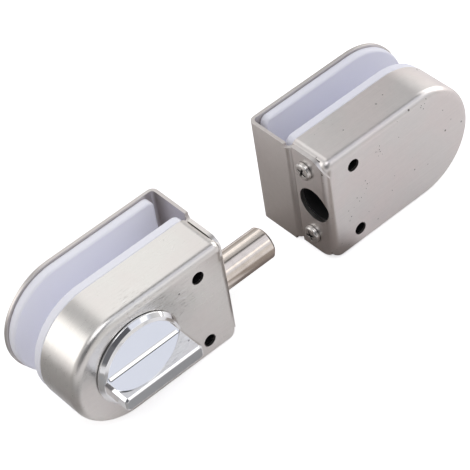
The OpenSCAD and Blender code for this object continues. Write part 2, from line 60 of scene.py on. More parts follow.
class Value:
    """A number that changes over a surface, written as ordinary arithmetic."""

    def __init__(self, bench: "NodeBench", socket: bpy.types.NodeSocket) -> None:
        """Wrap an output socket of the bench's node tree."""
        self.bench = bench
        self.socket = socket

    def _math(self, operation: str, *operands: Operand) -> "Value":
        """Add one Math node on the operands and take its result."""
        return self.bench.value("ShaderNodeMath", {"operation": operation}, dict(enumerate(operands)))

    def __add__(self, other: Operand) -> "Value":
        """Add."""
        return self._math("ADD", self, other)

    def __radd__(self, other: Operand) -> "Value":
        """Add, reflected."""
        return self._math("ADD", other, self)

    def __sub__(self, other: Operand) -> "Value":
        """Subtract."""
        return self._math("SUBTRACT", self, other)

    def __rsub__(self, other: Operand) -> "Value":
        """Subtract, reflected."""
        return self._math("SUBTRACT", other, self)

    def __mul__(self, other: Operand) -> "Value":
        """Multiply."""
        return self._math("MULTIPLY", self, other)

    def __rmul__(self, other: Operand) -> "Value":
        """Multiply, reflected."""
        return self._math("MULTIPLY", other, self)

    def __pow__(self, other: Operand) -> "Value":
        """Raise to a power."""
        return self._math("POWER", self, other)

    def __rpow__(self, other: Operand) -> "Value":
        """Raise to a power, reflected."""
        return self._math("POWER", other, self)

    def __abs__(self) -> "Value":
        """Drop the sign."""
        return self._math("ABSOLUTE", self)

    def swing(self, amount: float) -> "Value":
        """Turn noise about its middle into a change about 0, as wide as the amount."""
        return (self - NOISE_MIDDLE) * amount

    def ramp(self, low: float, high: float) -> "Value":
        """Rise smoothly from 0 at low to 1 at high, or fall where low is the larger.

        Args:
            low: The value that gives 0.
            high: The value that gives 1.

        Returns:
            The smooth step.
        """
        start, end, first, last = (low, high, 0.0, 1.0) if low < high else (high, low, 1.0, 0.0)
        inputs = {"Value": self, "From Min": start, "From Max": end, "To Min": first, "To Max": last}
        return self.bench.value("ShaderNodeMapRange", {"interpolation_type": "SMOOTHSTEP"}, inputs)

    def ramp_mm(self, low: float, high: float) -> "Value":
        """Rise or fall smoothly between two lengths in mm, as ramp does."""
        return self.ramp(low * MM, high * MM)


@dataclass(frozen=True)
class Grain:
    """A kind of noise: cells in a metre by axis, finer layers, turn in radians and centre in metres."""

    cells: Place
    detail: float = 2.0
    roughness: float = 0.5
    turn: Place = (0.0, 0.0, 0.0)
    centre: Place = (0.0, 0.0, 0.0)
    coordinate: str = "Object"

    @classmethod
    def even(cls, cells: float, detail: float, roughness: float) -> "Grain":
        """Make a kind of noise that is equally fine in every direction."""
        return cls((cells, cells, cells), detail, roughness)


class NodeBench:
    """Builds the node tree of one material or of the world."""

    def __init__(self, tree: bpy.types.NodeTree) -> None:
        """Take the node tree that is to be filled, and clear it."""
        self.tree = tree
        tree.nodes.clear()

    def feed(self, socket: bpy.types.NodeSocket, given: Any) -> None:
        """Set an input socket or link it.

        Args:
            socket: The input socket.
            given: A number, a colour, a vector, a Value or an output socket.
        """
        source = given.socket if isinstance(given, Value) else given
        if isinstance(source, bpy.types.NodeSocket):
            self.tree.links.new(source, socket)
        elif socket.type == "RGBA":
            socket.default_value = (*source, 1.0)
        else:
            socket.default_value = source

    def node(self, kind: str, settings: Optional[dict[str, Any]] = None,
             inputs: Optional[dict[Any, Any]] = None) -> bpy.types.Node:
        """Add a node.

        Args:
            kind: The node's type.
            settings: Its own settings.
            inputs: Values or links of its sockets, by name or number.

        Returns:
            The node.
        """
        made = self.tree.nodes.new(kind)
        for name, setting in (settings or {}).items():
            setattr(made, name, setting)
        for name, given in (inputs or {}).items():
            self.feed(made.inputs[name], given)
        return made

    def value(self, kind: str, settings: Optional[dict[str, Any]] = None,
              inputs: Optional[dict[Any, Any]] = None, output: Any = 0) -> Value:
        """Add a node and take the number that one of its outputs gives."""
        return Value(self, self.node(kind, settings, inputs).outputs[output])

    def coordinates(self, kind: str = "Object") -> bpy.types.NodeSocket:
        """Take an output of the Texture Coordinate node, such as a surface point's place."""
        return self.node("ShaderNodeTexCoord").outputs[kind]

    def split(self, vector: bpy.types.NodeSocket) -> tuple[Value, Value, Value]:
        """Take a vector apart into its X, Y and Z."""
        outputs = self.node("ShaderNodeSeparateXYZ", {}, {0: vector}).outputs
        return Value(self, outputs["X"]), Value(self, outputs["Y"]), Value(self, outputs["Z"])

    def blend(self, factor: Operand, first: Any, second: Any, mode: str = "MIX") -> bpy.types.NodeSocket:
        """Mix two colours or colour sockets: 0 gives the first, and 1 the second."""
        settings = {"data_type": "RGBA", "blend_type": mode}
        return self.node("ShaderNodeMix", settings, {0: factor, 6: first, 7: second}).outputs[2]

    def place(self, grain: Grain) -> bpy.types.NodeSocket:
        """Give coordinates for a pattern.

        Args:
            grain: How fine the pattern is, how it is turned and where it is centred.

        Returns:
            The coordinate vector's socket.
        """
        inputs = {0: self.coordinates(grain.coordinate), 1: grain.centre}
        moved = self.node("ShaderNodeVectorMath", {"operation": "SUBTRACT"}, inputs)
        inputs = {"Vector": moved.outputs[0], "Scale": grain.cells, "Rotation": grain.turn}
        return self.node("ShaderNodeMapping", {"vector_type": "POINT"}, inputs).outputs[0]

    def noise(self, grain: Grain) -> Value:
        """Add smooth noise of the given kind, about 0.5."""
        inputs = {"Vector": self.place(grain), "Scale": 1.0, "Detail": grain.detail,
                  "Roughness": grain.roughness}
        return self.value("ShaderNodeTexNoise", {}, inputs)

    def bump(self, height: Value, depth: float,
             under: Optional[bpy.types.NodeSocket] = None) -> bpy.types.NodeSocket:
        """Turn a height into a surface normal.

        Args:
            height: The height, 0 to 1.
            depth: The real depth between 0 and 1, in mm.
            under: A normal that this one lies on.

        Returns:
            The normal's socket.
        """
        inputs: dict[Any, Any] = {"Height": height, "Distance": depth * MM}
        if under is not None:
            inputs["Normal"] = under
        return self.node("ShaderNodeBump", {}, inputs).outputs[0]

    def for_camera(self, others: bpy.types.Node, camera: bpy.types.Node) -> bpy.types.NodeSocket:
        """Show one shader to the camera and another to everything else.

        Args:
            others: The shader that reflections and light see.
            camera: The shader that the camera sees.

        Returns:
            The mixed shader's socket.
        """
        seen = self.node("ShaderNodeLightPath").outputs["Is Camera Ray"]
        inputs = {0: seen, 1: others.outputs[0], 2: camera.outputs[0]}
        return self.node("ShaderNodeMixShader", {}, inputs).outputs[0]


class Flow(Enum):
    """Which way a brushed finish runs."""

    AS_DRAWN = "along the piece's brush map"
    ALONG_X = "along X"


BRUSH_LINES = {
    Flow.AS_DRAWN: (Grain((45, 5200, 1), 3.0, 0.6, coordinate="UV"),
                    Grain((14, 900, 1), 2.0, 0.5, coordinate="UV")),
    Flow.ALONG_X: (Grain((45, 5200, 5200), 3.0, 0.6), Grain((14, 900, 900), 2.0, 0.5)),
}


class Finish:
    """A surface finish that can be laid on a piece."""

    name: str

    def dress(self, bench: NodeBench) -> dict[str, Any]:
        """Work out what the shader's sockets get.

        Args:
            bench: The bench with the material's tree.

        Returns:
            Values or links, by socket name.
        """
        raise NotImplementedError

    def material(self) -> bpy.types.Material:
        """Make the material, or find the one already made.

        Returns:
            The material.
        """
        found = bpy.data.materials.get(self.name)
        if found is not None:
            return found
        made = bpy.data.materials.new(self.name)
        made.use_nodes = True
        bench = NodeBench(made.node_tree)
        shader = bench.node("ShaderNodeBsdfPrincipled", {}, self.dress(bench))
        bench.node("ShaderNodeOutputMaterial", {}, {"Surface": shader.outputs[0]})
        return made


@dataclass(frozen=True)
class BrushedSteel(Finish):
    """Satin stainless steel with fine brush lines, faint mottling, and scratches and specks in places."""

    name: str
    colour: Colour
    warm: Colour
    roughness: float = 0.34
    flow: Flow = Flow.AS_DRAWN
    scratches: float = 0.0
    scratch_places: tuple[Place, ...] = ()
    scratch_reach: Span = (14.0, 4.0)
    specks: float = 0.0
    speck_places: tuple[Place, ...] = ()
    speck_reach: Span = (3.6, 0.8)
    cloud: Grain = Grain((38, 38, 38), 3.0, 0.55, centre=(0.01, 0.02, 0.03))
    mottle: Grain = Grain.even(420, 3.0, 0.6)
    nick: Grain = Grain((300, 2400, 2400), 2.0, 0.6, turn=(0.0, 0.12, 0.0))
    wave: Grain = Grain.even(26, 1.0, 0.4)
    warm_span: Span = (0.36, 0.66)
    light_span: Span = (0.38, 0.62)
    low_light: Colour = (0.84, 0.84, 0.84)
    line_shade: float = 0.16
    band_shade: float = 0.05
    mottle_shade: float = 0.08
    line_rough: float = 0.14
    mottle_rough: float = 0.1
    cloud_rough: float = 0.08
    line_depth: float = 0.0025
    wave_depth: float = 0.05
    dark_nick: Colour = (0.4, 0.38, 0.37)
    dark_span: Span = (0.6, 0.68)
    bright_span: Span = (0.4, 0.32)
    speck_colour: Colour = (0.05, 0.045, 0.04)
    speck_centre: Place = (0.0104, 0.0032, 0.0071)
    speck_pick: Span = (0.99, 1.0)
    speck_edge: Span = (0.32, 0.18)
    sparse_cells: float = 560
    sparse_share: float = 0.004
    sparse_strength: float = 0.85
    dense_cells: float = 1000
    dense_share: float = 0.4
    dense_strength: float = 0.9

    def dress(self, bench: NodeBench) -> dict[str, Any]:
        """Work out what the shader's sockets get.

        Args:
            bench: The bench with the material's tree.

        Returns:
            Values or links, by socket name.
        """
        lines, bands = (bench.noise(kind) for kind in BRUSH_LINES[self.flow])
        cloud, mottle = bench.noise(self.cloud), bench.noise(self.mottle)
        shade = lines.swing(self.line_shade) + bands.swing(self.band_shade) + mottle.swing(self.mottle_shade)
        tint = bench.blend(cloud.ramp(*self.warm_span), self.colour, self.warm)
        light = bench.blend((shade + NOISE_MIDDLE).ramp(*self.light_span), self.low_light, WHITE)
        colour = bench.blend(1.0, tint, light, "MULTIPLY")
        if self.scratches > 0:
            colour = self._scratched(bench, colour)
        if self.specks > 0:
            colour = bench.blend(self._specks(bench), colour, self.speck_colour)
        rough = (lines.swing(self.line_rough) + mottle.swing(self.mottle_rough)
                 + cloud.swing(self.cloud_rough) + self.roughness)
        normal = bench.bump(bench.noise(self.wave), self.wave_depth)
        normal = bench.bump(lines, self.line_depth, normal)
        return {"Base Color": colour, "Metallic": 1.0, "Roughness": rough, "Normal": normal}

    def _scratched(self, bench: NodeBench, colour: bpy.types.NodeSocket) -> bpy.types.NodeSocket:
        """Add short dark and bright scratches around the scratched places.

        Args:
            bench: The bench with the material's tree.
            colour: The colour's socket.

        Returns:
            The scratched colour's socket.
        """
        nick = bench.noise(self.nick)
        patch = self._near(bench, self.scratch_places, self.scratch_reach)
        colour = bench.blend(nick.ramp(*self.dark_span) * patch * self.scratches, colour, self.dark_nick)
        return bench.blend(nick.ramp(*self.bright_span) * patch * self.scratches, colour, WHITE)

    @staticmethod
    def _near(bench: NodeBench, places: Iterable[Place], reach: Span) -> Operand:
        """Mark the surroundings of some places.

        Args:
            bench: The bench with the material's tree.
            places: The places, in mm.
            reach: The distances in mm at which the mark ends and at which it is full.

        Returns:
            1 near a place and 0 far from all.
        """
        near: Operand = 0.0
        for place in places:
            inputs = {0: bench.coordinates(), 1: tuple(length * MM for length in place)}
            away = bench.value("ShaderNodeVectorMath", {"operation": "DISTANCE"}, inputs, "Value")
            near = away.ramp_mm(*reach) + near
        return near

    def _dots(self, bench: NodeBench, cells: float, share: Operand) -> Value:
        """Scatter small round dots.

        Args:
            bench: The bench with the material's tree.
            cells: How many dots could lie in a metre.
            share: The share of them that is there.

        Returns:
            1 on a dot and 0 elsewhere.
        """
        where = bench.place(Grain((cells, cells, cells), centre=self.speck_centre))
        inputs = {"Vector": where, "Scale": 1.0, "Randomness": 1.0}
        dots = bench.node("ShaderNodeTexVoronoi", {"feature": "F1"}, inputs)
        pick = bench.value("ShaderNodeSeparateColor", {}, {0: dots.outputs["Color"]})
        disc = Value(bench, dots.outputs["Distance"]).ramp(*self.speck_edge)
        return disc * (pick + share).ramp(*self.speck_pick)

    def _specks(self, bench: NodeBench) -> Value:
        """Make small dark specks, a few anywhere and more of them around a few places.

        Args:
            bench: The bench with the material's tree.

        Returns:
            1 on a speck and 0 elsewhere.
        """
        specks = self._dots(bench, self.sparse_cells, self.sparse_share * self.specks) * self.sparse_strength
        if self.speck_places:
            share = self._near(bench, self.speck_places, self.speck_reach) * self.dense_share
            specks = specks + self._dots(bench, self.dense_cells, share) * self.dense_strength
        return specks


@dataclass(frozen=True)
class PolishedChrome(Finish):
    """Bright chrome plate, almost a mirror, with faint wipe marks."""

    name: str = "polished_chrome"
    colour: Colour = (0.93, 0.935, 0.95)
    roughness: float = 0.045
    haze: Grain = Grain.even(70, 4.0, 0.6)
    wipes: Grain = Grain((60, 1600, 1600), 2.0, 0.6, turn=(0.3, 0.5, 0.2))
    peel: Grain = Grain.even(240, 2.0, 0.5)
    haze_light: float = 1.05
    haze_span: Span = (0.4, 0.75)
    haze_rough: float = 0.035
    wipe_span: Span = (0.62, 0.8)
    wipe_rough: float = 0.03
    peel_depth: float = 0.0012

    def dress(self, bench: NodeBench) -> dict[str, Any]:
        """Work out what the shader's sockets get.

        Args:
            bench: The bench with the material's tree.

        Returns:
            Values or links, by socket name.
        """
        haze, wipes = bench.noise(self.haze), bench.noise(self.wipes)
        rough = (haze.ramp(*self.haze_span) * self.haze_rough
                 + wipes.ramp(*self.wipe_span) * self.wipe_rough + self.roughness)
        colour = bench.blend(haze, self.colour, scaled(self.colour, self.haze_light))
        normal = bench.bump(bench.noise(self.peel), self.peel_depth)
        return {"Base Color": colour, "Metallic": 1.0, "Roughness": rough, "Normal": normal}


@dataclass(frozen=True)
class TurnedSteel(Finish):
    """Steel bar, turned and drawn bright, with lengthwise shade bands."""

    name: str = "turned_steel"
    colour: Colour = (0.93, 0.845, 0.775)
    roughness: float = 0.165
    turned: Grain = Grain((5200, 30, 30), 2.0, 0.6)
    drawn: Grain = Grain((24, 1500, 1500), 2.0, 0.5)
    stain: Grain = Grain.even(150, 3.0, 0.6)
    stain_colour: Colour = (0.64, 0.56, 0.5)
    stain_span: Span = (0.45, 0.8)
    stain_strength: float = 0.5
    drawn_colour: Colour = (0.5, 0.46, 0.43)
    drawn_span: Span = (0.55, 0.75)
    drawn_strength: float = 0.25
    turned_rough: float = 0.12
    drawn_rough: float = 0.16
    turned_share: float = 0.6
    mark_depth: float = 0.003

    def dress(self, bench: NodeBench) -> dict[str, Any]:
        """Work out what the shader's sockets get.

        Args:
            bench: The bench with the material's tree.

        Returns:
            Values or links, by socket name.
        """
        turned, drawn, stain = (bench.noise(kind) for kind in (self.turned, self.drawn, self.stain))
        stained = stain.ramp(*self.stain_span) * self.stain_strength
        streaked = drawn.ramp(*self.drawn_span) * self.drawn_strength
        colour = bench.blend(stained, self.colour, self.stain_colour)
        colour = bench.blend(streaked, colour, self.drawn_colour)
        rough = turned.swing(self.turned_rough) + drawn.swing(self.drawn_rough) + self.roughness
        marks = turned * self.turned_share + drawn * (1.0 - self.turned_share)
        normal = bench.bump(marks, self.mark_depth)
        return {"Base Color": colour, "Metallic": 1.0, "Roughness": rough, "Normal": normal}


@dataclass(frozen=True)
class FirmPad(Finish):
    """Smooth white pad rubber, a little milky, with a fine moulded grain and a painted glow."""

    name: str
    colour: Colour
    # Painted light: an emission that lifts the pad where the slot shades it.
    glow: float
    painted_glow_colour: Colour = (0.9, 0.9, 1.0)
    roughness: float = 0.48
    rough_swing: float = 0.1
    grain: Grain = Grain.even(2600, 3.0, 0.6)
    grain_depth: float = 0.006
    cloud: Grain = Grain.even(55, 3.0, 0.5)
    cloud_light: float = 1.03
    cloud_strength: float = 0.5
    dust: Grain = Grain.even(900, 4.0, 0.7)
    dust_colour: Colour = (0.5, 0.5, 0.55)
    dust_span: Span = (0.72, 0.8)
    dust_strength: float = 0.25
    milkiness: float = 0.15
    milk_colour: Colour = (0.6, 0.6, 0.7)
    milk_depth: float = 3.0

    def dress(self, bench: NodeBench) -> dict[str, Any]:
        """Work out what the shader's sockets get.

        Args:
            bench: The bench with the material's tree.

        Returns:
            Values or links, by socket name.
        """
        grain, cloud, dust = (bench.noise(kind) for kind in (self.grain, self.cloud, self.dust))
        colour = bench.blend(cloud * self.cloud_strength, self.colour, scaled(self.colour, self.cloud_light))
        colour = bench.blend(dust.ramp(*self.dust_span) * self.dust_strength, colour, self.dust_colour)
        rough = grain.swing(self.rough_swing) + cloud.swing(self.rough_swing) + self.roughness
        # The emission set here is painted light.
        return {"Base Color": colour, "Roughness": rough, "Normal": bench.bump(grain, self.grain_depth),
                "Subsurface Weight": self.milkiness, "Subsurface Radius": self.milk_colour,
                "Subsurface Scale": self.milk_depth * MM, "Emission Color": self.painted_glow_colour,
                "Emission Strength": self.glow}


@dataclass(frozen=True)
class CrossScrew(Finish):
    """Bright pan-head screws, with painted shade in the cross recess and a painted shadow around the head's
    foot.
    """

    name: str
    end_x: float
    facing: float
    axis_y: float = 2.6
    axis_z: float = 17.3
    colour: Colour = (0.72, 0.7, 0.68)
    roughness: float = 0.24
    worn: Grain = Grain.even(900, 3.0, 0.6)
    worn_span: Span = (0.35, 0.7)
    worn_shade: float = 0.75
    worn_strength: float = 0.4
    worn_rough: float = 0.2
    # Where the cross recess is, and the painted shade in it.
    recess_edge: Span = (2.45, 2.35)
    recess_top: Span = (1.75, 1.3)
    recess_shade_colour: Colour = (0.05, 0.05, 0.05)
    recess_shade_strength: float = 0.85
    recess_rough: float = 0.3
    # Where the head's foot is, and the painted shadow on it.
    foot_edge: Span = (3.6, 3.9)
    foot_top: Span = (0.55, 0.15)
    foot_shadow_colour: Colour = (0.06, 0.06, 0.06)
    foot_shadow_strength: float = 0.8

    def dress(self, bench: NodeBench) -> dict[str, Any]:
        """Work out what the shader's sockets get.

        Args:
            bench: The bench with the material's tree.

        Returns:
            Values or links, by socket name.
        """
        x, y, z = bench.split(bench.coordinates())
        across = y - self.axis_y * MM
        above = abs(z) - self.axis_z * MM
        radius = (across * across + above * above) ** 0.5
        height = (x - self.end_x * MM) * self.facing
        # Painted shade darkens the cross recess, and a painted shadow darkens the head's foot next to the
        # wall.
        recess = radius.ramp_mm(*self.recess_edge) * height.ramp_mm(*self.recess_top)
        foot = radius.ramp_mm(*self.foot_edge) * height.ramp_mm(*self.foot_top)
        worn = bench.noise(self.worn)
        wear = worn.ramp(*self.worn_span) * self.worn_strength
        colour = bench.blend(wear, self.colour, scaled(self.colour, self.worn_shade))
        colour = bench.blend(recess * self.recess_shade_strength, colour, self.recess_shade_colour)
        colour = bench.blend(foot * self.foot_shadow_strength, colour, self.foot_shadow_colour)
        rough = worn.swing(self.worn_rough) + recess * self.recess_rough + self.roughness
        return {"Base Color": colour, "Metallic": 1.0, "Roughness": rough}


@dataclass(frozen=True)
class MachinedMetal(Finish):
    """Plain machined metal with cutter marks, used for what lies inside."""

    name: str
    colour: Colour
    roughness: float = 0.35
    metallic: float = 1.0
    marks: Grain = Grain((300, 2600, 300), 2.0, 0.5, turn=(0.4, 0.0, 0.7))
    mark_depth: float = 0.006
    mark_rough: float = 0.15
    stain: Grain = Grain.even(210, 4.0, 0.6)
    stain_span: Span = (0.3, 0.75)
    stain_shade: float = 0.72
    stain_strength: float = 0.5
    stain_rough: float = 0.2

    def dress(self, bench: NodeBench) -> dict[str, Any]:
        """Work out what the shader's sockets get.

        Args:
            bench: The bench with the material's tree.

        Returns:
            Values or links, by socket name.
        """
        marks, stain = bench.noise(self.marks), bench.noise(self.stain)
        stained = stain.ramp(*self.stain_span) * self.stain_strength
        colour = bench.blend(stained, self.colour, scaled(self.colour, self.stain_shade))
        rough = marks.swing(self.mark_rough) + stain.swing(self.stain_rough) + self.roughness
        normal = bench.bump(marks, self.mark_depth)
        return {"Base Color": colour, "Metallic": self.metallic, "Roughness": rough, "Normal": normal}


COVER_STEEL = BrushedSteel("cover_steel", (0.885, 0.87, 0.84), (0.895, 0.855, 0.83), 0.3, specks=0.5,
                           scratches=0.75, scratch_places=((-26.0, -9.4, 13.0), (-41.0, -9.4, 21.0)))
KEEPER_STEEL = BrushedSteel("keeper_cover_steel", (0.825, 0.795, 0.78), (0.845, 0.785, 0.77), 0.32,
                            specks=1.0, speck_places=((70.5, -9.4, 3.0), (67.0, -9.4, -1.5),
                                                      (103.0, -9.4, 20.5), (79.0, -9.4, 15.0),
                                                      (62.0, -9.4, -5.0)))
CLAMP_STEEL = BrushedSteel("clamp_steel", (0.77, 0.74, 0.72), (0.75, 0.71, 0.69), 0.36, Flow.ALONG_X)
PLATE_STEEL = BrushedSteel("plate_steel", (0.55, 0.55, 0.55), (0.5, 0.5, 0.5), 0.4, Flow.ALONG_X)
ZINC_PLATE = MachinedMetal("zinc_plate", (0.6, 0.6, 0.61), 0.32)
BLACK_DIE_CAST = MachinedMetal("black_die_cast", (0.012, 0.012, 0.013), 0.55, metallic=0.0, mark_depth=0.01)
BLACK_OXIDE = MachinedMetal("black_oxide", (0.02, 0.019, 0.018), 0.4, metallic=0.6)
BRASS = MachinedMetal("brass", (0.78, 0.6, 0.33), 0.28)
CHROME = PolishedChrome()
BOLT_STEEL = TurnedSteel()
# Both pads glow faintly as painted light. The keeper's copy is also painted darker and glows less, as
# painted shade in its slot.
LOCK_PAD = FirmPad("lock_white_pad", (0.87, 0.875, 0.95), glow=0.08)
SHADED_KEEPER_PAD = FirmPad("keeper_shaded_pad", (0.8, 0.805, 0.89), glow=0.05)


@dataclass(frozen=True)
class Ease:
    """A broken edge: its width in mm, and how many faces lie across it."""

    width: float
    segments: int


@dataclass
class DrawnFlow:
    """Lays brush lines along a D-shaped body: straight on its front, and around its side."""

    round_x: float
    half: float
    facing: float
    front_share: float = 0.72
    end_share: float = 0.9

    def lay(self, work: bmesh.types.BMesh) -> None:
        """Write the UV map that the brushed finish follows.

        Args:
            work: The body's mesh.
        """
        uv = work.loops.layers.uv.new("brush")
        for face in work.faces:
            front = abs(face.normal.y) > self.front_share
            for loop in face.loops:
                place = loop.vert.co
                loop[uv].uv = (place.x, place.z) if front else self._side(place, face.normal)

    def _side(self, place: Vector, normal: Vector) -> tuple[float, float]:
        """Say where a point of the side lies in the brush map.

        Args:
            place: The point.
            normal: The face's normal.

        Returns:
            The distance along the outline and the depth, in metres.
        """
        along = (place.x - self.round_x * MM) * self.facing
        if along > 0 and abs(normal.x) > self.end_share:
            return (place.z, place.y)
        if along > 0:
            return (along, place.y)
        return (-math.atan2(-along, abs(place.z)) * self.half * MM, place.y)


@dataclass
class Shop:
    """What every sub-assembly needs to turn a mesh or a CAD node into a piece: lengths in mm."""

    weld: float = 0.002
    sliver: float = 0.001
    flat_deg: float = 0.4
    sharp_deg: float = 32.0
    flat_weight: int = 50

    def to_mesh(self, work: bmesh.types.BMesh, name: str, sharp_deg: float) -> bpy.types.Mesh:
        """Turn finished work into a smooth mesh.

        Args:
            work: The bmesh, which is freed.
            name: The mesh's name.
            sharp_deg: The angle in degrees from which an edge stays sharp.

        Returns:
            The mesh.
        """
        for face in work.faces:
            face.smooth = True
        mesh = bpy.data.meshes.new(name)
        work.to_mesh(mesh)
        work.free()
        mesh.set_sharp_from_angle(angle=math.radians(sharp_deg))
        return mesh

    def finish_mesh(self, name: str, mesh: bpy.types.Mesh, look: Finish, body: str, slot: str,
                    nodes: Iterable[str]) -> bpy.types.Object:
        """Put a mesh in the scene as a piece.

        Args:
            name: The piece's name.
            mesh: Its mesh, in place.
            look: Its finish.
            body: The body that it rides on.
            slot: The record's material slot; not used.
            nodes: The CAD nodes that it stands for.

        Returns:
            The object.
        """
        mesh.materials.append(look.material())
        piece = bpy.data.objects.new(name, mesh)
        bpy.context.scene.collection.objects.link(piece)
        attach(piece, body)
        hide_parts(*nodes)
        LOG.info("made %s: %d faces on %s", name, len(mesh.polygons), body)
        return piece

    def eased(self, node: str, name: str, look: Finish, body: str, slot: str, ease: Ease,
              drawn: Optional[DrawnFlow] = None) -> None:
        """Copy a CAD node and break its sharp edges.

        Args:
            node: The CAD node.
            name: The new piece's name.
            look: Its finish.
            body: The body that it rides on.
            slot: The record's material slot.
            ease: Its broken edges.
            drawn: How the brush lines run on it, where they follow its shape.
        """
        work = bmesh.new()
        work.from_mesh(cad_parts[node].data)
        for layer in list(work.loops.layers.uv):
            work.loops.layers.uv.remove(layer)
        bmesh.ops.remove_doubles(work, verts=work.verts, dist=self.weld * MM)
        bmesh.ops.dissolve_degenerate(work, edges=work.edges, dist=self.sliver * MM)
        bmesh.ops.dissolve_limit(work, angle_limit=math.radians(self.flat_deg), verts=work.verts,
                                 edges=work.edges, use_dissolve_boundaries=False)
        if drawn is not None:
            drawn.lay(work)
        piece = self.finish_mesh(name, self.to_mesh(work, name, self.sharp_deg), look, body, slot, [node])
        bevel = piece.modifiers.new("broken edges", "BEVEL")
        bevel.width = ease.width * MM
        bevel.segments = ease.segments
        bevel.limit_method = "ANGLE"
        bevel.angle_limit = math.radians(self.sharp_deg)
        bevel.use_clamp_overlap = True
        self.true_flats(piece)

    def true_flats(self, piece: bpy.types.Object) -> None:
        """Shade large flat faces flat, so that only the rounded strips between them turn.

        Args:
            piece: The piece.
        """
        weighted = piece.modifiers.new("true flats", "WEIGHTED_NORMAL")
        weighted.mode = "FACE_AREA"
        weighted.weight = self.flat_weight
        weighted.keep_sharp = True

    def repaint(self, nodes: Iterable[str], look: Finish) -> None:
        """Lay a finish on CAD nodes that stay as they are.

        Args:
            nodes: The nodes' names.
            look: The finish.
        """
        for node in nodes:
            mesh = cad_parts[node].data
            mesh.materials.clear()
            mesh.materials.append(look.material())
            LOG.info("dressed %s", node)


@dataclass
class GlassClamp:
    """One cover on its bent clamp, with the pads that grip the glass: sizes in mm."""

    owner: str
    clamp_body: str
    end_x: float
    facing: float
    cover_look: Finish
    pad_look: Finish
    body_len: float = 76.5
    half_h: float = 26.0
    cover_ease: Ease = Ease(0.16, 3)
    sheet_ease: Ease = Ease(0.22, 3)
    pad_ease: Ease = Ease(0.9, 5)
    screw_ease: Ease = Ease(0.14, 3)
    shop: Shop = field(default_factory=Shop)

    def _piece(self, node: str, name: str, look: Finish, slot: str, ease: Ease, body: str = "fixed",
               drawn: Optional[DrawnFlow] = None) -> None:
        """Make a piece whose node's name and own name both start with the owner's."""
        self.shop.eased(f"{self.owner}_{node}", f"{self.owner}_{name}", look, body, slot, ease, drawn)

    def build(self) -> None:
        """Make the cover, clamp, pads and end screws, and dress what lies behind them."""
        round_x = self.end_x + self.facing * (self.half_h - self.body_len)
        flow = DrawnFlow(round_x, self.half_h, self.facing)
        screw_look = CrossScrew(f"{self.owner}_bright_screw", self.end_x, self.facing)
        self._piece("cover", "folded_cover", self.cover_look, "cover", self.cover_ease, drawn=flow)
        self._piece("bracket", "bent_clamp", CLAMP_STEEL, "clamp", self.sheet_ease)
        self._piece("back_pad", "rear_pad", self.pad_look, "pad", self.pad_ease)
        self._piece("front_pad", "slot_pad", self.pad_look, "pad", self.pad_ease, self.clamp_body)
        self._piece("end_screws", "cross_screws", screw_look, "screw", self.screw_ease)
        for node, look in (("block", BLACK_DIE_CAST), ("set_screws", BLACK_OXIDE),
                           ("pressure_plate", PLATE_STEEL), ("block_screws", ZINC_PLATE)):
            self.shop.repaint([f"{self.owner}_{node}"], look)


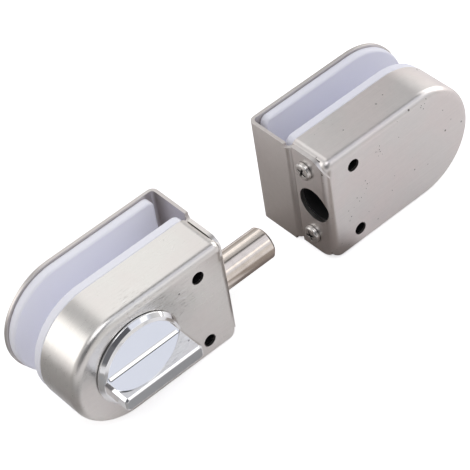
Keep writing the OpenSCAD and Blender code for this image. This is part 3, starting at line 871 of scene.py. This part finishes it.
@dataclass
class ThumbTurn:
    """The polished disc and the blade that the fingers hold: sizes in mm, and creases in radians."""

    axis_x: float = -46.0
    disc_r: float = 20.0
    rear_y: float = -9.7
    disc_h: float = 2.8
    lean: float = 1.3
    land: float = 0.6
    rim: float = 1.2
    rim_h: float = 0.6
    recess_r: float = 16.0
    recess_h: float = 1.1
    blade_len: float = 37.0
    blade_t: float = 6.6
    blade_h: float = 12.2
    blade_bevel: float = 0.8
    blade_corner: float = 1.2
    blade_sunk: float = 0.2
    stem_r: float = 3.06
    soft: float = 0.14
    soft_segments: int = 3
    foot_r: float = 0.8
    foot_gap: float = 0.12
    foot_facet: float = 0.33
    foot_sunk: float = 0.1
    foot_inset: float = 1.1
    turned_steps: int = 180
    shortest_upright: float = 1.0
    tip_slack: float = 0.01
    crease: float = 0.3
    crisp_deg: float = 28.0
    foot_crisp_deg: float = 15.0
    shop: Shop = field(default_factory=Shop)

    def _creases(self, work: bmesh.types.BMesh) -> list[bmesh.types.BMEdge]:
        """Find the edges at which the surface turns sharply."""
        return [edge for edge in work.edges
                if len(edge.link_faces) == 2 and edge.calc_face_angle(0.0) > self.crease]

    @staticmethod
    def _bevel(work: bmesh.types.BMesh, edges: list[bmesh.types.BMEdge], width: float,
               segments: int = 1) -> None:
        """Bevel edges by a width in mm, with some faces across the bevel."""
        bmesh.ops.bevel(work, geom=edges, offset=width * MM, offset_type="OFFSET", segments=segments,
                        profile=0.5, affect="EDGES", clamp_overlap=True, material=-1)

    def _to_mesh(self, work: bmesh.types.BMesh, name: str, crisp_deg: float) -> bpy.types.Mesh:
        """Turn the faces outwards and make the mesh."""
        bmesh.ops.recalc_face_normals(work, faces=work.faces)
        return self.shop.to_mesh(work, name, crisp_deg)

    def _disc(self) -> bpy.types.Mesh:
        """Turn the disc from its profile.

        Returns:
            The disc's mesh.
        """
        front = self.rear_y - self.disc_h
        recess = self.rear_y - self.recess_h
        profile = [
            (self.stem_r, recess), (self.recess_r, recess), (self.recess_r, self.rear_y),
            (self.disc_r, self.rear_y), (self.disc_r, self.rear_y - self.land),
            (self.disc_r - self.lean, front + self.rim_h), (self.disc_r - self.lean - self.rim, front),
            (self.stem_r, front),
        ]
        work = bmesh.new()
        points = [work.verts.new(((self.axis_x + r) * MM, y * MM, 0)) for r, y in profile]
        ring = [work.edges.new((a, b)) for a, b in zip(points, points[1:] + points[:1])]
        bmesh.ops.spin(work, geom=points + ring, cent=(self.axis_x * MM, 0, 0), axis=(0, 1, 0),
                       dvec=(0, 0, 0), angle=2 * math.pi, steps=self.turned_steps, use_merge=True)
        bmesh.ops.remove_doubles(work, verts=work.verts, dist=self.shop.sliver * MM)
        bmesh.ops.recalc_face_normals(work, faces=work.faces)
        self._bevel(work, self._creases(work), self.soft, self.soft_segments)
        return self._to_mesh(work, "turn_disc", self.crisp_deg)

    def _blade(self) -> bpy.types.Mesh:
        """Shape the blade from a block that is sunk a little into the disc.

        Returns:
            The blade's mesh.
        """
        front = self.rear_y - self.disc_h
        tip = (front - self.blade_h) * MM
        work = bmesh.new()
        size = (self.blade_len * MM, (self.blade_h + self.blade_sunk) * MM, self.blade_t * MM)
        middle = (self.axis_x * MM, (front - self.blade_h / 2 + self.blade_sunk / 2) * MM, 0)
        block = Matrix.Translation(middle) @ Matrix.Diagonal((*size, 1))
        bmesh.ops.create_cube(work, size=1.0, matrix=block)
        uprights = [edge for edge in work.edges
                    if abs(edge.verts[0].co.y - edge.verts[1].co.y) > self.shortest_upright * MM]
        self._bevel(work, uprights, self.blade_corner)
        at_tip = [edge for edge in work.edges
                  if all(abs(vert.co.y - tip) < self.tip_slack * MM for vert in edge.verts)]
        self._bevel(work, at_tip, self.blade_bevel)
        shown = [edge for edge in self._creases(work)
                 if not all(vert.co.y > front * MM for vert in edge.verts)]
        self._bevel(work, shown, self.soft, self.soft_segments)
        return self._to_mesh(work, "turn_blade", self.crisp_deg)

    def _foot(self) -> bpy.types.Mesh:
        """Draw the small flats that run into the disc along the blade's long sides.

        Returns:
            Their mesh.
        """
        face = self.rear_y - self.disc_h
        top = face - self.foot_r - self.foot_facet
        base = face + self.foot_sunk
        reach = self.blade_len / 2 - self.blade_corner - self.foot_inset
        work = bmesh.new()
        for side in (-1, 1):
            wall = side * self.blade_t / 2
            outer = wall + side * (self.foot_r + self.foot_gap)
            inner = wall - side * self.foot_sunk
            profile = [(face, outer), (face - self.foot_r, wall + side * self.foot_gap), (top, wall),
                       (top, inner), (base, inner), (base, outer)]
            ends = [[work.verts.new(((self.axis_x + x) * MM, y * MM, z * MM)) for y, z in profile]
                    for x in (-reach, reach)]
            for end in ends:
                work.faces.new(end)
            following = [end[1:] + end[:1] for end in ends]
            for left, right, next_left, next_right in zip(*ends, *following):
                work.faces.new((left, next_left, next_right, right))
        return self._to_mesh(work, "turn_foot", self.foot_crisp_deg)

    def build(self) -> None:
        """Make the disc, the blade and the flats at its foot."""
        meshes = (("turn_foot", self._foot()), ("turn_disc", self._disc()), ("turn_blade", self._blade()))
        for name, mesh in meshes:
            self.shop.true_flats(self.shop.finish_mesh(name, mesh, CHROME, "turn", "turn", ["thumb_turn"]))


@dataclass
class BoltDrive:
    """The round bolt and everything between it and the thumb-turn."""

    bolt_ease: Ease = Ease(0.2, 3)
    shop: Shop = field(default_factory=Shop)

    def build(self) -> None:
        """Make the bolt, and dress the drive behind the cover."""
        self.shop.eased("bolt", "round_bolt", BOLT_STEEL, "bolt", "bolt", self.bolt_ease)
        self.shop.repaint(["bolt_fork", "fork_screws", "crank", "crank_pin", "spring_washer", "turn_spindle",
                           "stop_pins", "cradle_screws"], ZINC_PLATE)
        self.shop.repaint(["crank_roller", "turn_bush", "bolt_cradle"], BRASS)


@dataclass(frozen=True)
class SoftArea:
    """An area of the floor or the room, with soft edges in two coordinates and a tone of its own."""

    first: tuple[Span, ...]
    second: tuple[Span, ...]
    colour: Colour
    far_colour: Optional[Colour] = None
    far_span: Span = (0.0, 1.0)

    def mark(self, first: Value, second: Value, unit: float = 1.0) -> Value:
        """Mark the area.

        Args:
            first: The first coordinate.
            second: The second coordinate.
            unit: The length of one unit of the edges.

        Returns:
            1 inside and 0 outside.
        """
        sides = [first.ramp(low * unit, high * unit) for low, high in self.first]
        sides += [second.ramp(low * unit, high * unit) for low, high in self.second]
        return math.prod(sides[1:], start=sides[0])

    def over(self, bench: NodeBench, shade: Any, first: Value, second: Value,
             unit: float = 1.0) -> bpy.types.NodeSocket:
        """Lay the area's tone over a shade.

        Args:
            bench: The bench with the tree.
            shade: The colour or colour socket under it.
            first: The first coordinate.
            second: The second coordinate.
            unit: The length of one unit of the edges.

        Returns:
            The new shade's socket.
        """
        tone: Any = self.colour
        if self.far_colour is not None:
            low, high = self.far_span
            tone = bench.blend(second.ramp(low * unit, high * unit), self.colour, self.far_colour)
        return bench.blend(self.mark(first, second, unit), shade, tone)


@dataclass(frozen=True)
class RoomPatch:
    """A round part of the room in a tone of its own, seen in the given direction."""

    way: Place
    edge_deg: float
    core_deg: float
    colour: Colour

    def mark(self, bench: NodeBench) -> Value:
        """Mark the patch.

        Args:
            bench: The bench with the world's tree.

        Returns:
            1 in its middle and 0 outside it.
        """
        inputs = {0: bench.coordinates("Generated"), 1: tuple(Vector(self.way).normalized())}
        near = bench.value("ShaderNodeVectorMath", {"operation": "DOT_PRODUCT"}, inputs, "Value")
        return near.ramp(math.cos(math.radians(self.edge_deg)), math.cos(math.radians(self.core_deg)))


@dataclass(frozen=True)
class Lamp:
    """A soft lamp, with its place, target and size in mm."""

    name: str
    place: Place
    target: Place
    size: Span
    watts: float
    colour: Colour

    def hang(self) -> None:
        """Hang the lamp and point it at its target."""
        light = bpy.data.lights.new(self.name, "AREA")
        light.shape = "RECTANGLE"
        light.size, light.size_y = (length * MM for length in self.size)
        light.energy = self.watts
        light.color = self.colour
        lamp = bpy.data.objects.new(self.name, light)
        bpy.context.scene.collection.objects.link(lamp)
        here = Vector(self.place) * MM
        way = Vector(self.target) * MM - here
        lamp.matrix_world = Matrix.Translation(here) @ way.to_track_quat("-Z", "Y").to_matrix().to_4x4()


# The floor as reflections see it, with patches of painted shade: spans of X and then of Y in mm, and tones.
BARE_FLOOR: Colour = (0.97, 0.955, 0.955)
BESIDE_LOCK = SoftArea(((-72, -86),), ((-90, -60), (150, 110)), (0.4, 0.39, 0.38))
AHEAD_OF_GAP = SoftArea(((16, 28), (62, 50)), ((-110, -70), (-10, -22)), (0.42, 0.38, 0.35))
IN_GAP = SoftArea(((4, 16), (70, 58)), ((-26, -14), (130, 80)), (0.29, 0.262, 0.247),
                  (0.45, 0.42, 0.405), (8, 36))
BEFORE_LOCK = SoftArea(((4, -8),), ((-35, -40), (-58, -50)), (0.4, 0.4, 0.405))

# The room as reflections see it: spans of a direction's Y and then of its Z, and tones.
LOW_ROOM: Colour = (0.74, 0.72, 0.7)
HIGH_ROOM: Colour = (0.49, 0.49, 0.495)
ROOM_RISE: Span = (-0.1, 0.6)
OVERHEAD_LIGHT = SoftArea(((-0.2, -0.36),), ((0.72, 0.86),), (1.2, 1.2, 1.24))
REAR_SHADE = SoftArea(((0.72, 0.86),), ((0.42, 0.3), (-0.05, 0.05)), (0.4, 0.38, 0.365))
DARK_STRIP = SoftArea(((-0.12, -0.05), (0.12, 0.05)), ((0.6, 0.8),), (0.04, 0.04, 0.04))
BRIGHT_BAND = SoftArea((), ((0.66, 0.61), (0.46, 0.54)), (1.25, 1.23, 1.2))
DISC_PATCH = RoomPatch((0.4, -0.58, 0.71), 36, 20, (0.745, 0.765, 0.835))
SIDE_PATCHES = (
    RoomPatch((-0.71, 0.58, 0.4), 28, 14, (1.6, 1.58, 1.55)),
    RoomPatch((-0.67, -0.65, 0.36), 32, 16, (0.14, 0.14, 0.15)),
    RoomPatch((-0.36, -0.675, 0.645), 13, 8, (0.1, 0.1, 0.11)),
    RoomPatch((-0.06, -0.655, 0.754), 14, 11, (0.1, 0.1, 0.11)),
)
LAMPS = (
    Lamp("rear_box", (110, 345, 470), (-30, 0, 20), (320, 420), 0.25, (1.0, 0.99, 0.97)),
    Lamp("top_box", (-260, -160, 760), (0, 0, 0), (500, 500), 0.9, (0.99, 0.99, 1.0)),
    Lamp("right_box", (830, 80, 330), (40, 0, 0), (700, 600), 2.0, (1.0, 0.995, 0.98)),
)


@dataclass
class Studio:
    """The floor, the room, the lamps and the camera: lengths in mm, and angles in degrees."""

    floor_z: float = -26.0
    floor_gap: float = 0.02
    floor_half: float = 3000.0
    floor_colour: Colour = (0.86, 0.86, 0.87)
    floor_glow: float = 0.62
    azimuth: float = -34.3955
    elevation: float = 45.1036
    roll: float = 10.01
    distance: float = 858.7
    field_mm: float = 183.679
    sensor: float = 36.0
    clip_m: Span = (0.01, 20.0)
    aim: Span = (16.3018, 26.1302)
    origin: Place = (0.0, 11.4, -26.1)

    def build(self) -> None:
        """Set up everything around the object."""
        self._floor()
        self._world()
        for lamp in LAMPS:
            lamp.hang()
        self._camera()
        bpy.context.scene.view_settings.view_transform = "Standard"

    def _floor(self) -> None:
        """Lay a pale floor that shows white to the camera and keeps the object's shadow."""
        work = bmesh.new()
        lowered = Matrix.Translation((0.0, 0.0, (self.floor_z - self.floor_gap) * MM))
        bmesh.ops.create_grid(work, x_segments=1, y_segments=1, size=self.floor_half * MM, matrix=lowered)
        mesh = bpy.data.meshes.new("studio_floor")
        work.to_mesh(mesh)
        work.free()
        material = bpy.data.materials.new("pale_floor")
        material.use_nodes = True
        bench = NodeBench(material.node_tree)
        plain = bench.node("ShaderNodeBsdfDiffuse", {}, {"Color": self.floor_colour})
        glow = bench.node("ShaderNodeEmission", {}, {"Color": WHITE, "Strength": self.floor_glow})
        lit = bench.node("ShaderNodeAddShader", {}, {0: plain.outputs[0], 1: glow.outputs[0]})
        mirrored = bench.node("ShaderNodeBsdfDiffuse", {}, {"Color": self._reflected_floor_shade(bench)})
        bench.node("ShaderNodeOutputMaterial", {}, {"Surface": bench.for_camera(mirrored, lit)})
        mesh.materials.append(material)
        floor = bpy.data.objects.new("studio_floor", mesh)
        bpy.context.scene.collection.objects.link(floor)

    @staticmethod
    def _reflected_floor_shade(bench: NodeBench) -> Any:
        """Paint shade on the floor that only reflections and bounced light see.

        Args:
            bench: The bench with the floor's tree.

        Returns:
            The floor's colour as the metal mirrors it.
        """
        x, y, _ = bench.split(bench.coordinates())
        shade: Any = BARE_FLOOR
        # Each patch is painted shade on the floor, unseen by the camera.
        for shade_patch in (BESIDE_LOCK, AHEAD_OF_GAP, IN_GAP, BEFORE_LOCK):
            shade = shade_patch.over(bench, shade, x, y, MM)
        return shade

    @staticmethod
    def _world() -> None:
        """Surround the object with a soft pale room, white to the camera."""
        world = bpy.data.worlds.new("soft_room")
        bpy.context.scene.world = world
        world.use_nodes = True
        bench = NodeBench(world.node_tree)
        _, depth, height = bench.split(bench.coordinates("Generated"))
        shade = bench.blend(height.ramp(*ROOM_RISE), LOW_ROOM, HIGH_ROOM)
        for area in (OVERHEAD_LIGHT, REAR_SHADE, DARK_STRIP):
            shade = area.over(bench, shade, depth, height)
        ahead = DISC_PATCH.mark(bench)
        shade = bench.blend(ahead, shade, DISC_PATCH.colour)
        shade = bench.blend(ahead * BRIGHT_BAND.mark(depth, height), shade, BRIGHT_BAND.colour)
        for patch in SIDE_PATCHES:
            shade = bench.blend(patch.mark(bench), shade, patch.colour)
        room = bench.node("ShaderNodeBackground", {}, {"Color": shade, "Strength": 1.0})
        white = bench.node("ShaderNodeBackground", {}, {"Color": WHITE, "Strength": 1.0})
        bench.node("ShaderNodeOutputWorld", {}, {"Surface": bench.for_camera(room, white)})

    def _camera(self) -> None:
        """Set the camera at the photograph's viewing angle."""
        azimuth, height, turn = (math.radians(angle) for angle in (self.azimuth, self.elevation, self.roll))
        level = Vector((math.sin(azimuth), -math.cos(azimuth), 0.0))
        right = Vector((math.cos(azimuth), math.sin(azimuth), 0.0))
        upright = Vector((0.0, 0.0, 1.0))
        back = level * math.cos(height) + upright * math.sin(height)
        up = upright * math.cos(height) - level * math.sin(height)
        place = Vector(self.origin) + right * self.aim[0] + up * self.aim[1] + back * self.distance
        across = right * math.cos(turn) - up * math.sin(turn)
        upward = right * math.sin(turn) + up * math.cos(turn)
        basis = Matrix((across, upward, back)).transposed().to_4x4()
        data = bpy.data.cameras.new("studio_camera")
        data.sensor_width = self.sensor
        data.lens = self.sensor * self.distance / self.field_mm
        data.clip_start, data.clip_end = self.clip_m
        camera = bpy.data.objects.new("studio_camera", data)
        bpy.context.scene.collection.objects.link(camera)
        camera.matrix_world = Matrix.Translation(place * MM) @ basis
        bpy.context.scene.camera = camera


def main() -> None:
    """Build the lock, its keeper and the studio around them."""
    logging.basicConfig(level=logging.INFO, format="%(message)s")
    Studio().build()
    GlassClamp("lock", "lock_clamp", 0.0, 1.0, COVER_STEEL, LOCK_PAD).build()
    GlassClamp("keeper", "keeper_clamp", STAND_APART, -1.0, KEEPER_STEEL, SHADED_KEEPER_PAD).build()
    ThumbTurn().build()
    BoltDrive().build()


if __name__ == "__main__":
    main()
